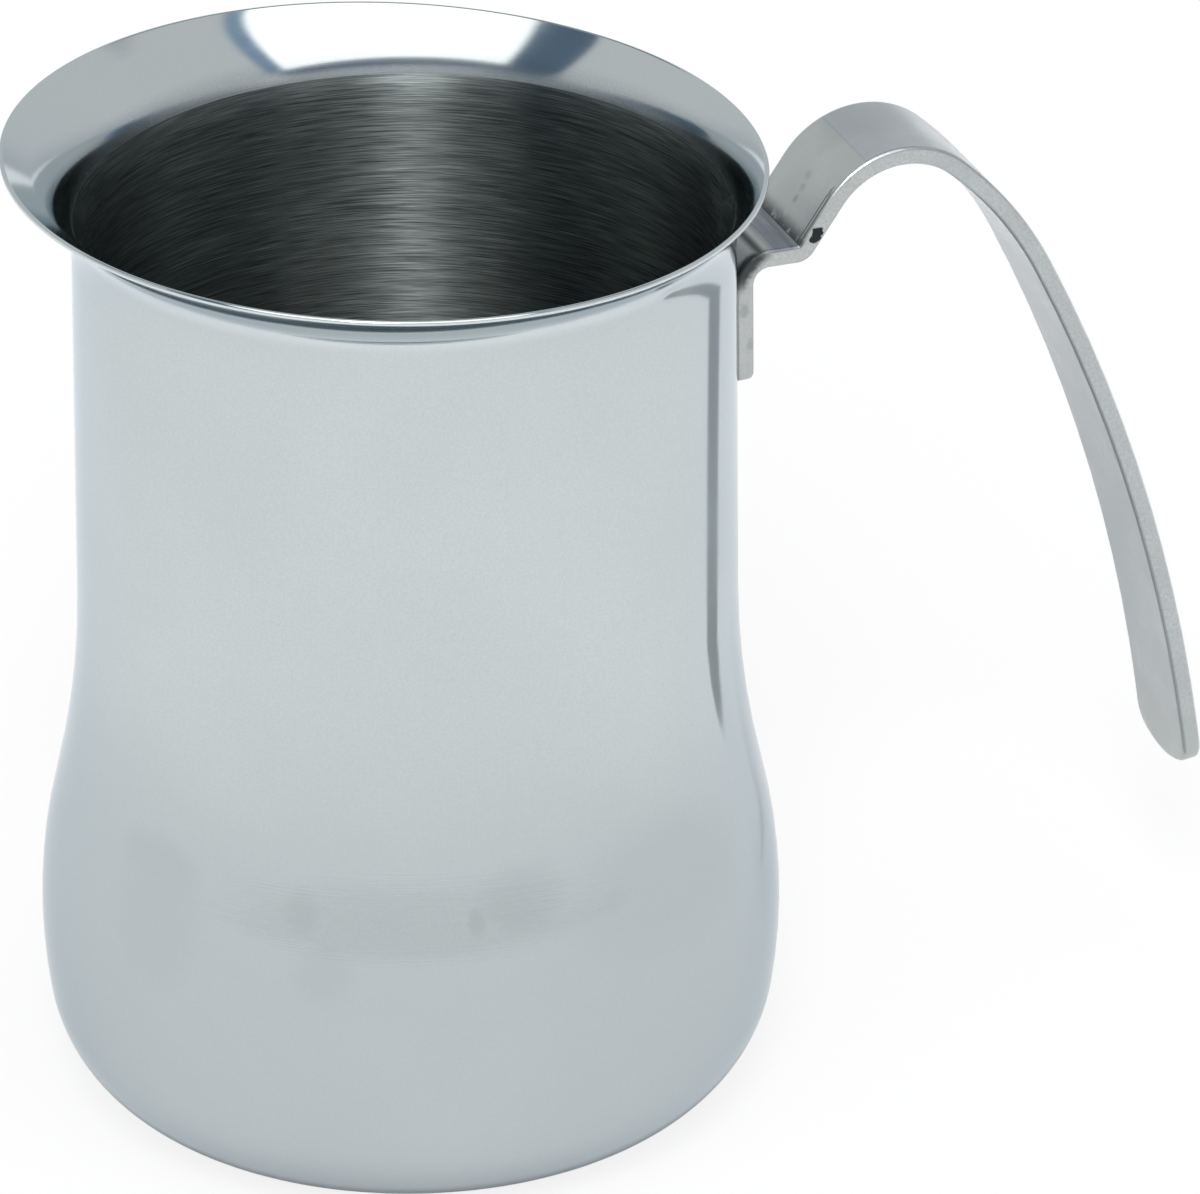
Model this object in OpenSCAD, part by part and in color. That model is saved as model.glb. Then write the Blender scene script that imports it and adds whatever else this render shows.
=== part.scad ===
// Milk frothing pitcher: a drawn steel vessel with a flared, tilted rim and a bent flat-bar handle.
// Millimetres, +Z up, origin at the centre of the base, handle along +X and pouring side along -X.

/* [Body] */
// Outer diameter of the straight neck
neck_d = 69; // [60:0.5:78]
// Thickness of the steel sheet
wall = 0.6; // [0.4:0.1:1.2]
// How far the belly swells out past the neck, on the radius
belly_swell = 4.2; // [2:0.1:7]
// Height of the widest point of the belly
belly_z = 21.9; // [18:0.1:26]
// Radius of the belly's side curve
belly_curve_r = 57.2; // [45:0.1:75]
// Radius of the corner between belly and base
corner_r = 15; // [9:0.5:17]
// Height where the shoulder runs into the straight neck
shoulder_z = 57.5; // [52:0.5:66]

/* [Rim] */
// Height of the rim half way between pouring side and handle
rim_z = 106.9; // [98:0.1:120]
// How far the flare reaches out past the neck, on the radius
flare_reach = 5.3; // [3.5:0.1:8]
// Lean of the flare from the vertical
flare_angle = 54; // [40:1:64]
// Radius of the bend under the flare
flare_bend_r = 11; // [8:0.1:12]
// Tilt of the trimmed rim, higher at the pouring side
rim_tilt = 2.3; // [0:0.1:4]

/* [Handle bar] */
// Width of the flat bar
bar_w = 12.4; // [9:0.1:16]
// Thickness of the flat bar
bar_t = 2; // [1.2:0.1:2.4]
// Radius of the two corners at the end of the foot
foot_corner_r = 1.5; // [0.5:0.1:3]
// Radius of the crown across the tip
tip_crown_r = 11; // [9:0.5:20]
// Radius of the two corners of the tip
tip_corner_r = 3; // [1:0.1:4]

/* [Handle bends] */
// Depth of the shelf's middle below the start of the flare
shelf_drop = 6.7; // [4:0.1:12]
// Straight length of the foot below its bend
foot_len = 11.2; // [9.5:0.1:15]
// Middle radius of the bend between foot and shelf
foot_bend_r = 2.75; // [2:0.05:4]
// Straight length of the shelf
shelf_len = 3.1; // [2:0.1:7]
// Droop of the shelf below the horizontal
shelf_droop = 2; // [0:0.5:5]
// Middle radius of the bend between shelf and ramp
ramp_bend_r = 1.25; // [1.1:0.05:3]
// Rise of the ramp above the horizontal
ramp_angle = 54.5; // [40:0.5:65]
// Straight length of the ramp
ramp_len = 5.7; // [2.5:0.1:9]
// Middle radius of the arch
arch_r = 9.2; // [7:0.1:14]
// Downward slope at the end of the arch
arch_end = 42.6; // [30:0.1:50]
// Middle radius of the haunch between arch and grip
haunch_r = 44; // [30:0.5:60]
// Downward slope at the end of the haunch
haunch_end = 64.5; // [55:0.1:72]
// Middle radius of the long grip curve
grip_r = 191; // [130:1:260]
// Downward slope at the tip
grip_end = 84.2; // [78:0.1:90]

/* [Welds] */
// Stand-off between neck and foot
weld_gap = 0.3; // [0.2:0.05:0.8]
// Diameter of a weld nugget
weld_d = 4; // [2.5:0.1:4.4]
// Clear space between the two nuggets
weld_space = 1; // [0.5:0.1:1.5]
// How deep a nugget reaches into the foot
weld_into_foot = 0.8; // [0.3:0.1:1]
// How deep a nugget reaches into the sheet
weld_into_wall = 0.25; // [0.1:0.05:0.3]

/* [Hidden] */
$fn = 96;
// Straight pieces that stand for one curve
arc_steps = 16;
// Extra reach of a cutting shape past what it cuts
over = 1;

// Body: corner, belly and shoulder are arcs that run into each other without a kink
neck_r = neck_d / 2;
belly_r = neck_r + belly_swell;
belly_c = [belly_r - belly_curve_r, belly_z];
corner_c = [belly_c.x + sqrt((belly_curve_r - corner_r) ^ 2 - (belly_z - corner_r) ^ 2), corner_r];
corner_end = atan2(corner_c.y - belly_c.y, corner_c.x - belly_c.x);
shoulder_run = neck_r - belly_c.x;
shoulder_rise = shoulder_z - belly_z;
shoulder_r = (shoulder_run ^ 2 + shoulder_rise ^ 2 - belly_curve_r ^ 2) / (2 * belly_swell);
shoulder_c = [neck_r + shoulder_r, shoulder_z];
belly_end = atan2(shoulder_c.y - belly_c.y, shoulder_c.x - belly_c.x);

// Flare: a wide bend out of the neck that ends in a short cone
flare_rise = flare_bend_r * sin(flare_angle)
    + (flare_reach - flare_bend_r * (1 - cos(flare_angle))) / tan(flare_angle);
flare_z = rim_z - flare_rise;
flare_c = [neck_r + flare_bend_r, flare_z];
rim_r = neck_r + flare_reach;
// Length of the flare's cone before it is trimmed, well past the rim's highest point
cone_len = 2 * (flare_reach + rim_r * tan(rim_tilt)) / sin(flare_angle);
cone_end = flare_c + flare_bend_r * heading(180 - flare_angle) + cone_len * heading(90 - flare_angle);

// Rim: cut square to the flare along a wide cone, which leans with the rim and stands to the pouring side
cut_slope = tan(flare_angle);
rim_lean = tan(rim_tilt) * cut_slope;
cut_r = rim_r / (1 - rim_lean ^ 2);
cut_shift = cut_r * rim_lean;
// Depth of the cutting cone below the rim, well past the base
cut_depth = 2 * rim_z;

// Handle: the middle line of the bar, from the foot to the tip, in the XZ plane
foot_face = neck_r + weld_gap;
foot_mid = foot_face + bar_t / 2;
shelf_z = flare_z - shelf_drop;
foot_bend_c = [foot_mid + foot_bend_r, shelf_z - foot_bend_r];
foot_bottom = foot_bend_c.y - foot_len;
shelf_start = foot_bend_c + foot_bend_r * heading(90 - shelf_droop);
shelf_end = shelf_start + shelf_len * heading(-shelf_droop);
ramp_bend_c = shelf_end + ramp_bend_r * heading(90 - shelf_droop);
ramp_start = ramp_bend_c + ramp_bend_r * heading(ramp_angle - 90);
ramp_end = ramp_start + ramp_len * heading(ramp_angle);
arch_c = ramp_end + arch_r * heading(ramp_angle - 90);
haunch_c = arch_c + (arch_r - haunch_r) * heading(90 - arch_end);
grip_c = haunch_c + (haunch_r - grip_r) * heading(90 - haunch_end);
tip = grip_c + grip_r * heading(90 - grip_end);

// The bends in order: centre, middle radius, start angle, end angle, and the turn (1 is to the right)
bends = [
    [foot_bend_c, foot_bend_r, 180, 90 - shelf_droop, 1],
    [ramp_bend_c, ramp_bend_r, -90 - shelf_droop, ramp_angle - 90, -1],
    [arch_c, arch_r, ramp_angle + 90, 90 - arch_end, 1],
    [haunch_c, haunch_r, 90 - arch_end, 90 - haunch_end, 1],
    [grip_c, grip_r, 90 - haunch_end, 90 - grip_end, 1],
];

// Tip: its corner arcs run into the crown arc, with lengths counted back from the end of the bar
tip_corner_y = bar_w / 2 - tip_corner_r;
tip_back = tip_crown_r - sqrt((tip_crown_r - tip_corner_r) ^ 2 - tip_corner_y ^ 2);
tip_turn = asin(tip_corner_y / (tip_crown_r - tip_corner_r));
tip_outline = concat(
    arc([-tip_back, tip_corner_y], tip_corner_r, 90, tip_turn),
    arc([-tip_crown_r, 0], tip_crown_r, tip_turn, -tip_turn),
    arc([-tip_back, -tip_corner_y], tip_corner_r, -tip_turn, -90)
);

// Foot: a straight end with two rounded corners
foot_corner_y = bar_w / 2 - foot_corner_r;
foot_outline = concat(
    arc([-foot_corner_r, foot_corner_y], foot_corner_r, 90, 0),
    arc([-foot_corner_r, -foot_corner_y], foot_corner_r, 0, -90)
);

// Welds: two nuggets on the middle of the foot, one above the other
weld_mid_z = foot_bottom + foot_len / 2;
weld_pitch = weld_d + weld_space;
weld_start_x = neck_r - weld_into_wall;
weld_len = weld_into_wall + weld_gap + weld_into_foot;

function heading(a) = [cos(a), sin(a)];

function arc(c, r, from, to) =
    [for (i = [0 : arc_steps]) c + r * heading(from + (to - from) * i / arc_steps)];

function reversed(list) = [for (i = [len(list) - 1 : -1 : 0]) list[i]];

// Side line of the vessel from the base to the end of the cone, moved inwards by the given depth
function body_line(depth) = concat(
    arc(corner_c, corner_r - depth, -90, corner_end),
    arc(belly_c, belly_curve_r - depth, corner_end, belly_end),
    arc(shoulder_c, shoulder_r + depth, belly_end + 180, 180),
    arc(flare_c, flare_bend_r + depth, 180, 180 - flare_angle),
    [cone_end + depth * heading(180 - flare_angle)]
);

// One face of the bar along all bends: side 1 is the upper face, side -1 the lower
function bar_line(side) =
    [for (b = bends) each arc(b[0], b[1] + side * b[4] * bar_t / 2, b[2], b[3])];

module vessel_profile() {
    polygon(concat([[0, 0]], body_line(0), reversed(body_line(wall)), [[0, wall]]));
}

// All that lies inside the cut of the rim
module inside_cut() {
    translate([0, 0, rim_z])
        rotate([0, rim_tilt, 0])
            translate([-cut_shift, 0, -cut_depth])
                cylinder(r1 = cut_r + cut_depth / cut_slope, r2 = 0, h = cut_depth + cut_r * cut_slope);
}

module bar_side() {
    polygon(concat([[foot_face, foot_bottom]], bar_line(1), reversed(bar_line(-1)),
        [[foot_face + bar_t, foot_bottom]]));
}

// What is trimmed off an end of the bar, to leave the given outline
module end_waste(place, slope, back, outline) {
    translate([place.x, 0, place.y])
        rotate([0, slope, 0])
            translate([0, 0, -bar_t])
                linear_extrude(2 * bar_t)
                    difference() {
                        translate([-back, -bar_w / 2 - over])
                            square([back + over, bar_w + 2 * over]);
                        polygon(outline);
                    }
}

module nuggets() {
    for (side = [-1, 1])
        translate([weld_start_x, 0, weld_mid_z + side * weld_pitch / 2])
            rotate([0, 90, 0])
                cylinder(d = weld_d, h = weld_len);
}

module vessel() {
    color("gainsboro")
        difference() {
            intersection() {
                rotate_extrude()
                    vessel_profile();
                inside_cut();
            }
            nuggets();
        }
}

module handle() {
    color("silver")
        difference() {
            rotate([90, 0, 0])
                translate([0, 0, -bar_w / 2])
                    linear_extrude(bar_w)
                        bar_side();
            end_waste(tip, grip_end, tip_back, tip_outline);
            end_waste([foot_mid, foot_bottom], 90, foot_corner_r, foot_outline);
            nuggets();
        }
}

module spot_welds() {
    color("darkgray")
        nuggets();
}

vessel();
handle();
spot_welds();
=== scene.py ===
"""Milk frothing pitcher in polished and brushed steel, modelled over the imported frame.

Sizes are in millimetres and degrees, as on the part's own drawing, and MM turns them into Blender's metres.
The origin is the centre of the base, +Z is up, the handle points along +X and the pouring side along -X.
"""

import math

import bpy
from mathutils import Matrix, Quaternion, Vector


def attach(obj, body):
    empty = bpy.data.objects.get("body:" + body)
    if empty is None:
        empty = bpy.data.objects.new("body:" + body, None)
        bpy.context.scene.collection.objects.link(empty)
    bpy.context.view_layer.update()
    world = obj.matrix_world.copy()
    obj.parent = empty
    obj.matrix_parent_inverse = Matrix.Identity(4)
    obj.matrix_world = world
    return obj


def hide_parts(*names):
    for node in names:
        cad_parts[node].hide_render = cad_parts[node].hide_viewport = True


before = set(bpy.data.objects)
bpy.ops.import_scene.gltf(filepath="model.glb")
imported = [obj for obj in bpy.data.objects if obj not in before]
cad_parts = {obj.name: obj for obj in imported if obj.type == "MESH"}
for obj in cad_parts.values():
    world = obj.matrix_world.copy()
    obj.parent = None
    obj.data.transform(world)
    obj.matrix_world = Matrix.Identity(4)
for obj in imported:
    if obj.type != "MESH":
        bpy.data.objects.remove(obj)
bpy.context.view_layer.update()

MM = 0.001

# Body: a flat base, three arcs that run into each other and a straight neck
NECK_R = 34.5
WALL = 0.6
BELLY_SWELL = 4.2
BELLY_Z = 21.9
BELLY_CURVE_R = 57.2
CORNER_R = 15
SHOULDER_Z = 57.5

# Rim: a bend out of the neck and a cone, trimmed by a tilted plane
RIM_Z = 106.9
FLARE_REACH = 5.3
FLARE_ANGLE = 54
FLARE_BEND_R = 11
RIM_TILT = 2.3

# Handle: a flat bar bent into foot, shelf, ramp, arch, haunch and grip
BAR_W = 12.4
BAR_T = 2
FOOT_CORNER_R = 1.5
TIP_CROWN_R = 11
TIP_CORNER_R = 3
WELD_GAP = 0.3
SHELF_DROP = 6.7
FOOT_LEN = 11.2
FOOT_BEND_R = 2.75
SHELF_LEN = 3.1
SHELF_DROOP = 2
RAMP_BEND_R = 1.25
RAMP_ANGLE = 54.5
RAMP_LEN = 5.7
ARCH_R = 9.2
ARCH_END = 42.6
HAUNCH_R = 44
HAUNCH_END = 64.5
GRIP_R = 191
GRIP_END = 84.2

# Rounded edges, and how far under the rim's cut the sheet is kept clear of other edges
RIM_ROUND = 0.29
RIM_CLEAR = 0.6
BAR_ROUND = 0.4
SHARP_ANGLE = 40
ROUND_SEGMENTS = 3

# How finely round shapes are drawn, and how close places count as one
ROUND_STEPS = 256
ARC_STEP = 3
ARC_LEAST = 2
BEND_STEP = 2.5
BEND_LEAST = 12
MERGE = 0.01
CUT_NEAR = 0.001
TURN_LEAST = 1e-4

# Inside of the body: its material slots, the height where the brushing ends, and the slope of its base
BRUSHED_SLOT = 1
FLARE_SLOT = 2
BRUSHED_TOP = 100.3
UPWARD_LEAST = 0.5

# Scratches, wipe marks and spots: the part of the noise, or of the reach, over which they fade
LINE_FADE = (0.34, 0.66)
LINE_WIDE = 0.23
LINE_WIDE_SHARE = 0.15
LINE_FINE_SHARE = 0.85
SCRATCH_FADE = (0.64, 0.72)
HAZE_FADE = (0.32, 0.68)
GRAIN_FADE = (0.3, 0.7)
SPOT_FADE = (0.35, 1.0)

# Polished steel: tones, with the heights over which three of them fade and their full share; the belly and
# base tones are painted shade
POLISHED_CLEAN = (0.606, 0.643, 0.645, 1)
POLISHED_HAZED = (0.577, 0.616, 0.619, 1)
POLISHED_EDGE = (0.82, 0.86, 0.89, 1)
GRAIN_TONE = (0.40, 0.43, 0.44, 1)
GRAIN_SHARE = 0.24
SMUDGE_TONE = (0.40, 0.445, 0.44, 1)
# Painted shade: the belly darkens below 62 mm, fully below 34 mm, for the shaded floor near the base that it
# reflects
BELLY_REFLECTED_SHADE = (0.42, 0.46, 0.475, 1)
BELLY_SHADE_FADE = (34, 62)
BELLY_SHADE_SHARE = 0.58
FLARE_TONE = (0.73, 0.775, 0.785, 1)
FLARE_FADE = (101.5, 103.5)
FLARE_SHARE = 0.7
# Painted shade: a dark band along the bottom edge for the contact shadow under the base
BASE_CONTACT_SHADE = (0.22, 0.25, 0.27, 1)
BASE_SHADE_FADE = (1, 5)
BASE_SHADE_SHARE = 0.6

# Polished steel: pitch and length of its lines, bump, size of its wipe marks and grain, and roughness
POLISHED_PITCH = 0.16
POLISHED_LINE_LEN = 25
POLISHED_BUMP = 0.02
POLISHED_BUMP_DEPTH = 0.02
POLISHED_WIPE = 30
POLISHED_GRAIN = 4500
POLISHED_ROUGH = (0.06, 0.09)
POLISHED_LINE_ROUGH = 0.02
BORDER_ROUGH = 0.2
BORDER_FADE = (BRUSHED_TOP, BRUSHED_TOP + 2.2)

# Smudges on the belly: azimuth and height, half their extent round and up, and strength
BELLY_MARK_R = 37
BELLY_MARKS = [
    (-158, 38.5, 7.5, 4.0, 0.40),
    (-157, 32.5, 7.5, 10.0, 0.28),
    (-130, 37.6, 2.6, 3.0, 0.34),
    (-126, 30.6, 4.4, 4.4, 0.34),
    (-101, 37.2, 1.3, 3.2, 0.60),
    (-93, 38.6, 6.5, 5.0, 0.42),
    (-77, 36.2, 2.2, 2.4, 0.45),
    (-66, 35.8, 16.0, 10.0, 0.34),
    (-33, 29.8, 8.0, 7.0, 0.35),
]
BELLY_RAGGED_SIZE = 3.0
BELLY_RAGGED_PUSH = 1.0

# Brushed steel: tones, pitch and length of its lines, bump, size of its wipe marks, and spread of its shine
BRUSHED_DARK = (0.085, 0.100, 0.106, 1)
BRUSHED_LINE = (0.28, 0.318, 0.304, 1)
BRUSHED_SCRATCH = (0.40, 0.447, 0.425, 1)
BRUSHED_EDGE = (0.03, 0.04, 0.05, 1)
BRUSHED_PITCH = 0.07
BRUSHED_LINE_LEN = 5
BRUSHED_BUMP = 0.15
BRUSHED_BUMP_DEPTH = 0.03
BRUSHED_WIPE = 20
BRUSHED_ROUGH = (0.35, 0.38)
BRUSHED_LINE_ROUGH = 0.03
BRUSHED_STRETCH = 0.9
BRUSHED_TURN = 0.25

# Satin steel: tones of the bar, warm before the line across its arch and cool after it, with its painted
# shade, painted highlight and marks
ARCH_LINE = 30.7
WARM_CLEAN = (0.63, 0.65, 0.635, 1)
WARM_HAZED = (0.57, 0.59, 0.58, 1)
COOL_CLEAN = (0.60, 0.635, 0.65, 1)
COOL_HAZED = (0.55, 0.585, 0.60, 1)
COOL_FADE = (ARCH_LINE - 0.3, ARCH_LINE + 0.3)
# Dull tone: dirt and heat tint on the foot, grain on the front side face, and painted shade on the tip
DULL_AND_SHADE_TONE = (0.38, 0.39, 0.385, 1)
# Painted shade: the lower face darkens from the foot to the grip, with a clear film on it
LOWER_FACE_SHADE_TONE = (0.42, 0.455, 0.475, 1)
# Painted highlight: the outer face of the haunch and grip is lighter
GRIP_HIGHLIGHT_TONE = (0.70, 0.745, 0.765, 1)
# Painted shade: the shelf by the neck is dark and bluish
SHELF_SHADE_TONE = (0.20, 0.235, 0.27, 1)
# Dark tone of the marks and of the painted shade in the creases and along the lower front edge
MARK_AND_SHADE_TONE = (0.03, 0.036, 0.038, 1)

# Satin steel: stretches along the bar over which its tones fade, and their full share; the tip's darkening is
# painted shade, the lower face's film carries painted shade and the grip's lighter outer face is a painted
# highlight
FOOT_DULL_FADE = (14, 20)
FOOT_DULL_SHARE = 0.55
# Painted shade: the tip darkens towards its end
TIP_SHADE_FADE = (95, 120)
TIP_SHADE_SHARE = 0.6
# Where the lower face carries its film and painted shade
FILM_AND_SHADE_FADE = (85, 118)
FILM_AND_SHADE_SHARE = 0.9
# Where the painted highlight on the outer face begins
GRIP_HIGHLIGHT_FADE = (45, 60)
GRIP_HIGHLIGHT_SHARE = 0.6
# Where the painted shade along the lower front edge begins
EDGE_SHADE_FADE = (42, 50)

# Satin steel: where its faces begin, through the bar and across it
LOWER_FACE = (-0.9, -0.7)
LOWER_EDGE = (-0.8, -0.6)
UPPER_FACE = (0.6, 0.8)
OUTER_FACE = (0.7, 0.9)
SIDE_FACE = (5.9, 6.1)
SIDE_EDGE = (5.8, 6.0)

# Satin steel: lines, and streaks of the shelf's painted shade, in a metre along, through and across, grain,
# stains, bump and roughness
BAR_LINES = (400, 6000, 6000)
SHELF_SHADE_STREAKS = (2200, 300, 120)
SHADE_STREAK_FADE = (0.3, 0.65)
SHADE_STREAK_SHARE = (0.5, 0.9)
BAR_GRAIN = 3200
BAR_GRAIN_SHARE = (0.38, 0.72)
BAR_STAIN = 900
STAIN_FADE = (0.25, 0.52)
BAR_WIPE = 6
BAR_BUMP = 0.04
BAR_BUMP_DEPTH = 0.02
BAR_ROUGH = (0.27, 0.30)
BAR_LINE_ROUGH = 0.04
MARK_ROUGH = 0.2
FILM_ROUGH = 0.25

# Dark lines on the bar, of which the creases and the lower front edge are painted shade: start, end and
# softness along it or across it, and strength
# Painted shade: a dark line across the foot's bend by the neck
NECK_CREASE = (14.5, 15.1, 0.3)
NECK_CREASE_SHADE = 0.8
ARCH_LINE_BAND = (ARCH_LINE - 0.08, ARCH_LINE + 0.08, 0.1)
ARCH_LINE_DARK = 0.12
PRESS_OUTER = (5.75, 5.9, 0.08)
PRESS_INNER = (5.25, 5.45, 0.08)
PRESS_END = 26.0
PRESS_SOFT = 0.6
PRESS_DARK = 0.8
# Painted shade in the crease between the shelf and the ramp
CREASE_SHADE = 0.75
RESIDUE_DARK = 0.85
# Painted shade along the lower front edge of the grip
EDGE_SHADE_DARK = 0.35

# Marks on the bar: middle and half extent along it, through it and across it, and strength
NICK = [((21.7, 0.0, 6.2), (1.45, 1.15, 1.2), 1.0)]
NICK_FADE = (0.45, 0.7)
NICK_RAGGED_SIZE = 0.6
NICK_RAGGED_PUSH = 0.6
BAR_MARKS = [
    ((13.2, 0.7, 6.2), (3.2, 1.5, 1.6), 0.90),
    ((23.1, 1.0, 0.6), (0.7, 0.5, 0.6), 0.22),
    ((24.5, 1.0, 0.6), (0.7, 0.5, 0.7), 0.18),
    ((25.9, 1.0, 0.2), (0.8, 0.5, 0.8), 0.16),
    ((26.2, 1.0, 5.5), (0.9, 0.4, 0.35), 0.50),
    ((8.5, 0.2, 6.2), (1.2, 0.8, 0.6), 0.25),
    ((4.5, -0.5, 6.2), (1.0, 0.6, 0.6), 0.20),
]
BAR_RAGGED_SIZE = 0.5
BAR_RAGGED_PUSH = 0.35

# Weld nuggets: straw and blue heat colours, size of their patches, and roughness
WELD_STRAW = (0.36, 0.34, 0.31, 1)
WELD_BLUE = (0.26, 0.29, 0.34, 1)
WELD_PATCH = 1.5
WELD_ROUGH = (0.4, 0.6)

# Camera: the photograph's view, far away with a long lens
CAMERA_AZIMUTH = -22.5
CAMERA_ELEVATION = 26.63
CAMERA_ROLL = -0.368
CAMERA_AIM = (19.48, -5.42, 54.88)
CAMERA_DISTANCE = 2500
CAMERA_LENS = 717.6
SENSOR_W = 36

# Floor: wide enough for every view, a hair below the base, and partly white for the camera
FLOOR_SIZE = 14000
FLOOR_GAP = 0.05
FLOOR_COLOUR = (0.80, 0.80, 0.80, 1)
FLOOR_WHITE = 0.85
FLOOR_FADE = (300, 450)

# Reflections counted along a ray: light sources show up to the first, the white floor in the second
FIRST_ONLY = 1.5
SECOND = 2.0
HALF = 0.5

# Studio light: brightness of the walls, the large panel with its lamp, and the gaps beside it
PANEL = (1.55, 1.55, 1.55, 1)
LAMP = (26.0, 26.0, 26.0, 1)
WALL_LOW = (0.45, 0.48, 0.50, 1)
WALL_HIGH = (0.60, 0.62, 0.63, 1)
FLOOR_BELOW = (0.95, 0.95, 0.95, 1)
FLOOR_EDGE = (0.94, 0.95, 0.96, 1)
FRONT_LOW = (0.10, 0.14, 0.20, 1)
BACK_HIGH = (0.08, 0.11, 0.15, 1)
GAP_LEFT = (0.10, 0.15, 0.21, 1)
GAP_RIGHT = (0.22, 0.32, 0.44, 1)
WHITE = (1, 1, 1, 1)

# Studio heights, as the sine of the elevation, and how far back its dark upper part begins
WALL_FADE = (0.0, 0.25)
BACK_FADE = (-0.45, -0.3)
BACK_HIGH_FADE = (0.68, 0.76)
GROUND_FADE = (-0.3, -0.12)
HORIZON_FADE = (0.05, 0.08)

# Studio patches: left, right, low and high edge about the panel's direction, one unit away, and softness
PANEL_ELEVATION = 35
FRONT_EDGE_PATCH = (-1.2, 1.2, -0.75, -0.4, 0.04)
FRONT_LOW_PATCH = (-0.9, 0.9, -0.48, 0.5, 0.05)
GAP_LEFT_PATCH = (-1.25, -0.6, -0.5, 2.2, 0.05)
GAP_RIGHT_PATCH = (0.75, 1.0, -0.3, 2.2, 0.05)
PANEL_PATCH = (-0.66, 0.82, -0.24, 1.8, 0.04)
LAMP_PATCH = (-0.13, 0.07, -0.06, 0.4, 0.04)
AHEAD_LEAST = 0.01
AHEAD_SHOWN = 0.02


def heading(angle):
    """Unit vector in the XZ plane at an angle from +X towards +Z."""
    return Vector((math.cos(math.radians(angle)), 0, math.sin(math.radians(angle))))


def at(x, z):
    """A point in the XZ plane, in millimetres."""
    return Vector((x, 0, z))


# Body line, worked out as on the drawing
belly_r = NECK_R + BELLY_SWELL
belly_c = at(belly_r - BELLY_CURVE_R, BELLY_Z)
corner_run = math.sqrt((BELLY_CURVE_R - CORNER_R) ** 2 - (BELLY_Z - CORNER_R) ** 2)
corner_c = at(belly_c.x + corner_run, CORNER_R)
corner_end = math.degrees(math.atan2(corner_c.z - belly_c.z, corner_c.x - belly_c.x))
shoulder_run = NECK_R - belly_c.x
shoulder_rise = SHOULDER_Z - BELLY_Z
shoulder_r = (shoulder_run**2 + shoulder_rise**2 - BELLY_CURVE_R**2) / (2 * BELLY_SWELL)
shoulder_c = at(NECK_R + shoulder_r, SHOULDER_Z)
belly_end = math.degrees(math.atan2(shoulder_c.z - belly_c.z, shoulder_c.x - belly_c.x))
flare_lean = math.radians(FLARE_ANGLE)
flare_rise = FLARE_BEND_R * math.sin(flare_lean)
flare_rise += (FLARE_REACH - FLARE_BEND_R * (1 - math.cos(flare_lean))) / math.tan(flare_lean)
flare_z = RIM_Z - flare_rise
flare_c = at(NECK_R + FLARE_BEND_R, flare_z)
rim_r = NECK_R + FLARE_REACH
cone_len = 2 * (FLARE_REACH + rim_r * math.tan(math.radians(RIM_TILT))) / math.sin(flare_lean)

# Middle line of the bar, worked out as on the drawing
foot_mid = NECK_R + WELD_GAP + BAR_T / 2
shelf_z = flare_z - SHELF_DROP
foot_bend_c = at(foot_mid + FOOT_BEND_R, shelf_z - FOOT_BEND_R)
foot_bottom = foot_bend_c.z - FOOT_LEN
shelf_start = foot_bend_c + FOOT_BEND_R * heading(90 - SHELF_DROOP)
shelf_end = shelf_start + SHELF_LEN * heading(-SHELF_DROOP)
ramp_bend_c = shelf_end + RAMP_BEND_R * heading(90 - SHELF_DROOP)
ramp_start = ramp_bend_c + RAMP_BEND_R * heading(RAMP_ANGLE - 90)
ramp_end = ramp_start + RAMP_LEN * heading(RAMP_ANGLE)
arch_c = ramp_end + ARCH_R * heading(RAMP_ANGLE - 90)
haunch_c = arch_c + (ARCH_R - HAUNCH_R) * heading(90 - ARCH_END)
grip_c = haunch_c + (HAUNCH_R - GRIP_R) * heading(90 - HAUNCH_END)

# Marks by the ramp's bend, with the painted shade in its crease and on the shelf: start, end and softness
# along the bar, or the stretch over which they fade
foot_bend_len = FOOT_BEND_R * math.radians(90 + SHELF_DROOP)
ramp_bend_len = RAMP_BEND_R * math.radians(SHELF_DROOP + RAMP_ANGLE)
ramp_bend_at = FOOT_LEN + foot_bend_len + SHELF_LEN + ramp_bend_len / 2
crease_shade_band = (ramp_bend_at - 0.2, ramp_bend_at + 0.6, 0.2)
shelf_shade_band = (ramp_bend_at - 3.6, ramp_bend_at - 0.2, 0.5)
press_band = (ramp_bend_at, PRESS_END, PRESS_SOFT)
residue_rise = (ramp_bend_at - 0.2, ramp_bend_at)
residue_fall = (ramp_bend_at + 0.4, ramp_bend_at + 2.6)

# Tip of the bar: its corner arcs run into the crown arc
tip_corner_y = BAR_W / 2 - TIP_CORNER_R
tip_back = TIP_CROWN_R - math.sqrt((TIP_CROWN_R - TIP_CORNER_R) ** 2 - tip_corner_y**2)
tip_turn = math.degrees(math.asin(tip_corner_y / (TIP_CROWN_R - TIP_CORNER_R)))

# Each bend of the bar: centre, middle radius, and the headings from the centre where it starts and ends
BENDS = [
    (foot_bend_c, FOOT_BEND_R, 180, 90 - SHELF_DROOP),
    (ramp_bend_c, RAMP_BEND_R, -90 - SHELF_DROOP, RAMP_ANGLE - 90),
    (arch_c, ARCH_R, RAMP_ANGLE + 90, 90 - ARCH_END),
    (haunch_c, HAUNCH_R, 90 - ARCH_END, 90 - HAUNCH_END),
    (grip_c, GRIP_R, 90 - HAUNCH_END, 90 - GRIP_END),
]


def start_drawing(name, point):
    """A new piece in edit mode that has one corner, which is selected."""
    bpy.ops.object.select_all(action="DESELECT")
    bpy.ops.mesh.primitive_plane_add(size=1)
    piece = bpy.context.object
    piece.name = name
    piece.data.name = name
    bpy.ops.object.mode_set(mode="EDIT")
    bpy.ops.mesh.merge(type="CENTER")
    bpy.ops.transform.translate(value=point * MM)
    return piece


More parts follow.
